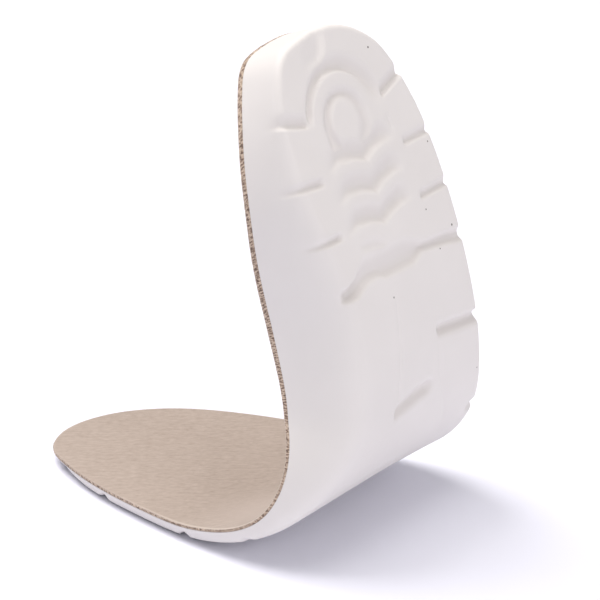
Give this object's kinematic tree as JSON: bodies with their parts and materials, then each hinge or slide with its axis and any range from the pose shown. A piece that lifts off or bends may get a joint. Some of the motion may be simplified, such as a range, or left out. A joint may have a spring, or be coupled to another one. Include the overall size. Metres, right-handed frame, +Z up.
{
  "type": "footbed insole",
  "caption": "Flexed foam footbed insole for a right foot: cupped heel with moulded cushioning relief underneath, raised arch, thin flat forefoot and a bonded fabric top cover.",
  "frame": {"origin": "on the flat underside of the forefoot, under its middle, where the insole is held down", "axes": "+Z up, square to the flat forefoot; -X towards the toe; -Y towards the medial (inner) edge"},
  "size_m": [0.1259, 0.0867, 0.1558],
  "materials": {
    "foam": "matte moulded white foam",
    "cover": "beige short-nap fabric"
  },
  "bodies": {
    "root": {"foam_footbed": "foam", "top_cover": "cover"}
  },
  "joints": []
}
